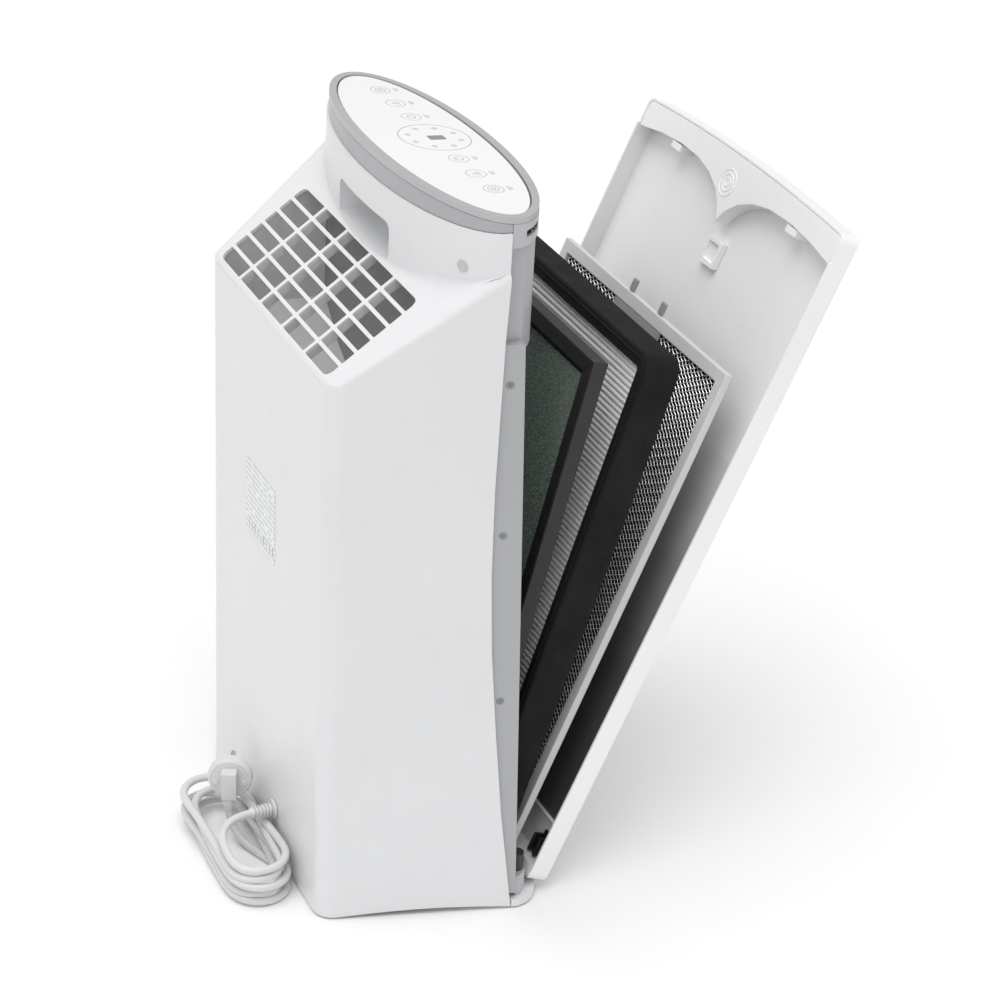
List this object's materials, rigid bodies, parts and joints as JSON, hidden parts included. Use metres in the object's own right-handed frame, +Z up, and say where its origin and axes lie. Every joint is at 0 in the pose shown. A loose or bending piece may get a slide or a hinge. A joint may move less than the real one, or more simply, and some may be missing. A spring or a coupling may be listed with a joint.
{
  "type": "tower air purifier",
  "caption": "Tower air purifier with a sloping exhaust grille, oval touch head, tipping front cover, three leaning filters and a bundled mains lead.",
  "frame": {"origin": "on the floor, under the middle of the open unit's outer box, cord left out", "axes": "+Z up, -Y towards the tipping front cover, +X to the unit's left as its front is faced"},
  "size_m": [0.3608, 0.5038, 0.6419],
  "materials": {
    "white_shell": "satin gloss",
    "pale_grey": "fine matte",
    "silver_band": "satin silver",
    "mid_grey": "fine matte",
    "dark_grey": "fine matte",
    "rubber_feet": "matte",
    "steel": "turned",
    "aluminium_mesh": "expanded metal",
    "board": "solder mask",
    "black_plastic": "moulded",
    "black_foam": "fine foam",
    "pleat_paper": "pleated fibre",
    "purple_grey": "moulded",
    "carbon_sheet": "granular",
    "cord_white": "soft plastic"
  },
  "bodies": {
    "housing": {"rear_shell": "white_shell", "base_tray": "white_shell", "touch_panel": "white_shell", "neck_cap_left": "white_shell", "neck_cap_right": "white_shell", "front_chassis": "pale_grey", "head_front": "pale_grey", "inlet_guard": "pale_grey", "rating_label": "pale_grey", "scroll_housing": "pale_grey", "tray_step": "pale_grey", "trim_band": "silver_band", "top_rim": "mid_grey", "head_deck": "mid_grey", "inlet_plate": "mid_grey", "display_window": "dark_grey", "stop_post_left": "dark_grey", "stop_post_right": "dark_grey", "foot_1": "rubber_feet", "foot_2": "rubber_feet", "foot_3": "rubber_feet", "foot_4": "rubber_feet", "fan_motor": "steel", "plug_pin_a": "steel", "plug_pin_b": "steel", "control_board": "board", "power_board": "board", "ionizer": "black_plastic", "switch_body": "black_plastic", "cord_gland": "cord_white", "cord": "cord_white", "cord_hank": "cord_white", "plug": "cord_white"},
    "fan": {"impeller": "dark_grey", "fan_shaft": "steel"},
    "cover": {"cover_panel": "white_shell", "cover_crown": "white_shell", "cover_clip_left": "white_shell", "cover_clip_right": "white_shell", "cover_boss": "white_shell"},
    "prefilter": {"prefilter_frame": "silver_band", "prefilter_mesh": "aluminium_mesh", "prefilter_plate": "mid_grey", "prefilter_tab_left": "mid_grey", "prefilter_tab_right": "mid_grey"},
    "hepa": {"hepa_gasket": "black_foam", "hepa_pleats": "pleat_paper"},
    "carbon": {"carbon_frame": "purple_grey", "carbon_border": "black_foam", "carbon_sheet": "carbon_sheet"},
    "switch_pin": {"switch_plunger": "white_shell"}
  },
  "joints": [
    {"name": "fan_spin", "type": "hinge", "parent": "housing", "child": "fan", "pos_m": [0, 0.1664, 0.262], "axis": [0, 1, 0], "continuous": true},
    {"name": "cover_tilt", "type": "hinge", "parent": "housing", "child": "cover", "pos_m": [0, 0.01637, 0.01991], "axis": [1, 0, 0], "range_deg": [-22, 0]},
    {"name": "prefilter_tilt", "type": "hinge", "parent": "housing", "child": "prefilter", "pos_m": [0, 0.0444, 0.024], "axis": [1, 0, 0], "range_deg": [-20.65, 0]},
    {"name": "hepa_tilt", "type": "hinge", "parent": "housing", "child": "hepa", "pos_m": [0, 0.0654, 0.035], "axis": [1, 0, 0], "range_deg": [-15.35, 0]},
    {"name": "carbon_tilt", "type": "hinge", "parent": "housing", "child": "carbon", "pos_m": [0, 0.092, 0.032], "axis": [1, 0, 0], "range_deg": [-11.55, 0]},
    {"name": "safety_switch", "type": "slide", "parent": "housing", "child": "switch_pin", "axis": [0, 1, 0], "range_m": [0, 0.003], "stiffness_N_per_m": 150}
  ],
  "couplings": [
    {"joint": "prefilter_tilt", "follows": "cover_tilt", "ratio": 0.93636},
    {"joint": "hepa_tilt", "follows": "cover_tilt", "ratio": 0.69545},
    {"joint": "carbon_tilt", "follows": "cover_tilt", "ratio": 0.52273}
  ]
}
